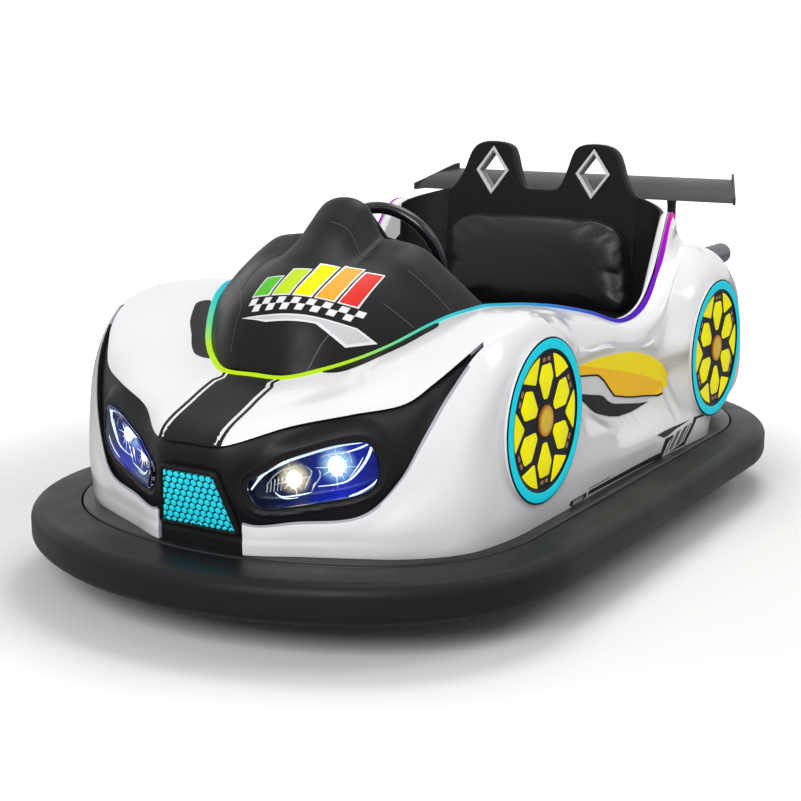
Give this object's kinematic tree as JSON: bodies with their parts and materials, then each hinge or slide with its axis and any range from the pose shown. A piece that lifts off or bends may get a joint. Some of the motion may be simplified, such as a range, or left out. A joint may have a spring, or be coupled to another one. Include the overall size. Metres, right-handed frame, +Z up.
{
  "type": "bumper car",
  "caption": "Battery bumper car with a bench seat, moulded racing body inside a rubber ring, a steered drive wheel and fixed rear wheels.",
  "frame": {"origin": "on the floor under the middle of the bumper ring", "axes": "+Z up, the nose points along -Y, the driver's left is +X"},
  "size_m": [1.2, 1.9798, 0.8605],
  "materials": {
    "white_shell": "gloss glass-fibre gel coat",
    "bumper_rubber": "dense moulded rubber",
    "black_moulding": "fine-grained moulding",
    "satin_black": "satin paint",
    "frame_steel": "black powder coat",
    "battery_case": "moulded case",
    "seat_vinyl": "grained vinyl",
    "silver_trim": "silver and white moulding",
    "lamp_lens": "clear polycarbonate",
    "cyan_mesh": "painted honeycomb",
    "light_strip": "milky light guide, lit",
    "grey_moulding": "grey moulding",
    "pipe_grey": "grey paint",
    "red_lens": "red lens",
    "yellow_panel": "yellow painted panel",
    "cover_yellow": "printed cover with honeycomb pattern",
    "motor_paint": "dark paint",
    "wheel_rubber": "solid tyre",
    "hub_alloy": "cast"
  },
  "bodies": {
    "car": {"bumper_ring": "bumper_rubber", "deck_ring": "black_moulding", "chassis_ring": "frame_steel", "chassis_rails": "frame_steel", "drive_bridge": "frame_steel", "floor_pan": "frame_steel", "battery_block": "battery_case", "seat_box": "black_moulding", "seat_cushion": "seat_vinyl", "seat_back_shell": "black_moulding", "seat_back_pad": "seat_vinyl", "headrest_frames": "silver_trim", "hood_shell": "white_shell", "nose_panel_left": "white_shell", "nose_panel_right": "white_shell", "flank_left": "white_shell", "flank_right": "white_shell", "tail_shell": "white_shell", "headlight_masks": "satin_black", "headlight_lenses": "lamp_lens", "headlight_bowls": "silver_trim", "grille_frame": "satin_black", "grille_mesh": "cyan_mesh", "hood_strip": "satin_black", "hood_vents": "satin_black", "light_strip": "light_strip", "dash_cowl": "satin_black", "dash_panel": "satin_black", "cockpit_wall": "black_moulding", "steering_column": "frame_steel", "accelerator_pedal": "frame_steel", "wheel_cover_front_left": "cover_yellow", "wheel_cover_front_right": "cover_yellow", "wheel_cover_rear_left": "cover_yellow", "wheel_cover_rear_right": "cover_yellow", "side_insert_left": "yellow_panel", "side_insert_right": "yellow_panel", "spoiler_wing": "grey_moulding", "spoiler_posts": "grey_moulding", "exhaust_pipes": "pipe_grey", "tail_lamps": "red_lens", "rear_wheel_brackets": "frame_steel"},
    "steering": {"steering_wheel": "black_moulding"},
    "drive_unit": {"drive_fork": "frame_steel", "drive_motor": "motor_paint"},
    "drive_wheel": {"drive_tyre": "wheel_rubber", "drive_hub": "hub_alloy"},
    "rear_wheel_left": {"rear_left_tyre": "wheel_rubber", "rear_left_hub": "hub_alloy"},
    "rear_wheel_right": {"rear_right_tyre": "wheel_rubber", "rear_right_hub": "hub_alloy"}
  },
  "joints": [
    {"name": "drive_steer", "type": "hinge", "parent": "car", "child": "drive_unit", "pos_m": [0, -0.6, 0.25], "axis": [0, 0, 1], "range_deg": [-180, 180]},
    {"name": "steering_wheel_turn", "type": "hinge", "parent": "car", "child": "steering", "pos_m": [0, -0.175, 0.625], "axis": [0, 0.9397, 0.342], "range_deg": [-180, 180]},
    {"name": "drive_wheel_spin", "type": "hinge", "parent": "drive_unit", "child": "drive_wheel", "pos_m": [0, -0.6, 0.09], "axis": [1, 0, 0], "continuous": true},
    {"name": "rear_left_spin", "type": "hinge", "parent": "car", "child": "rear_wheel_left", "pos_m": [0.36, 0.56, 0.06], "axis": [1, 0, 0], "continuous": true},
    {"name": "rear_right_spin", "type": "hinge", "parent": "car", "child": "rear_wheel_right", "pos_m": [-0.36, 0.56, 0.06], "axis": [1, 0, 0], "continuous": true}
  ],
  "couplings": [
    {"joint": "steering_wheel_turn", "follows": "drive_steer", "ratio": 1}
  ]
}
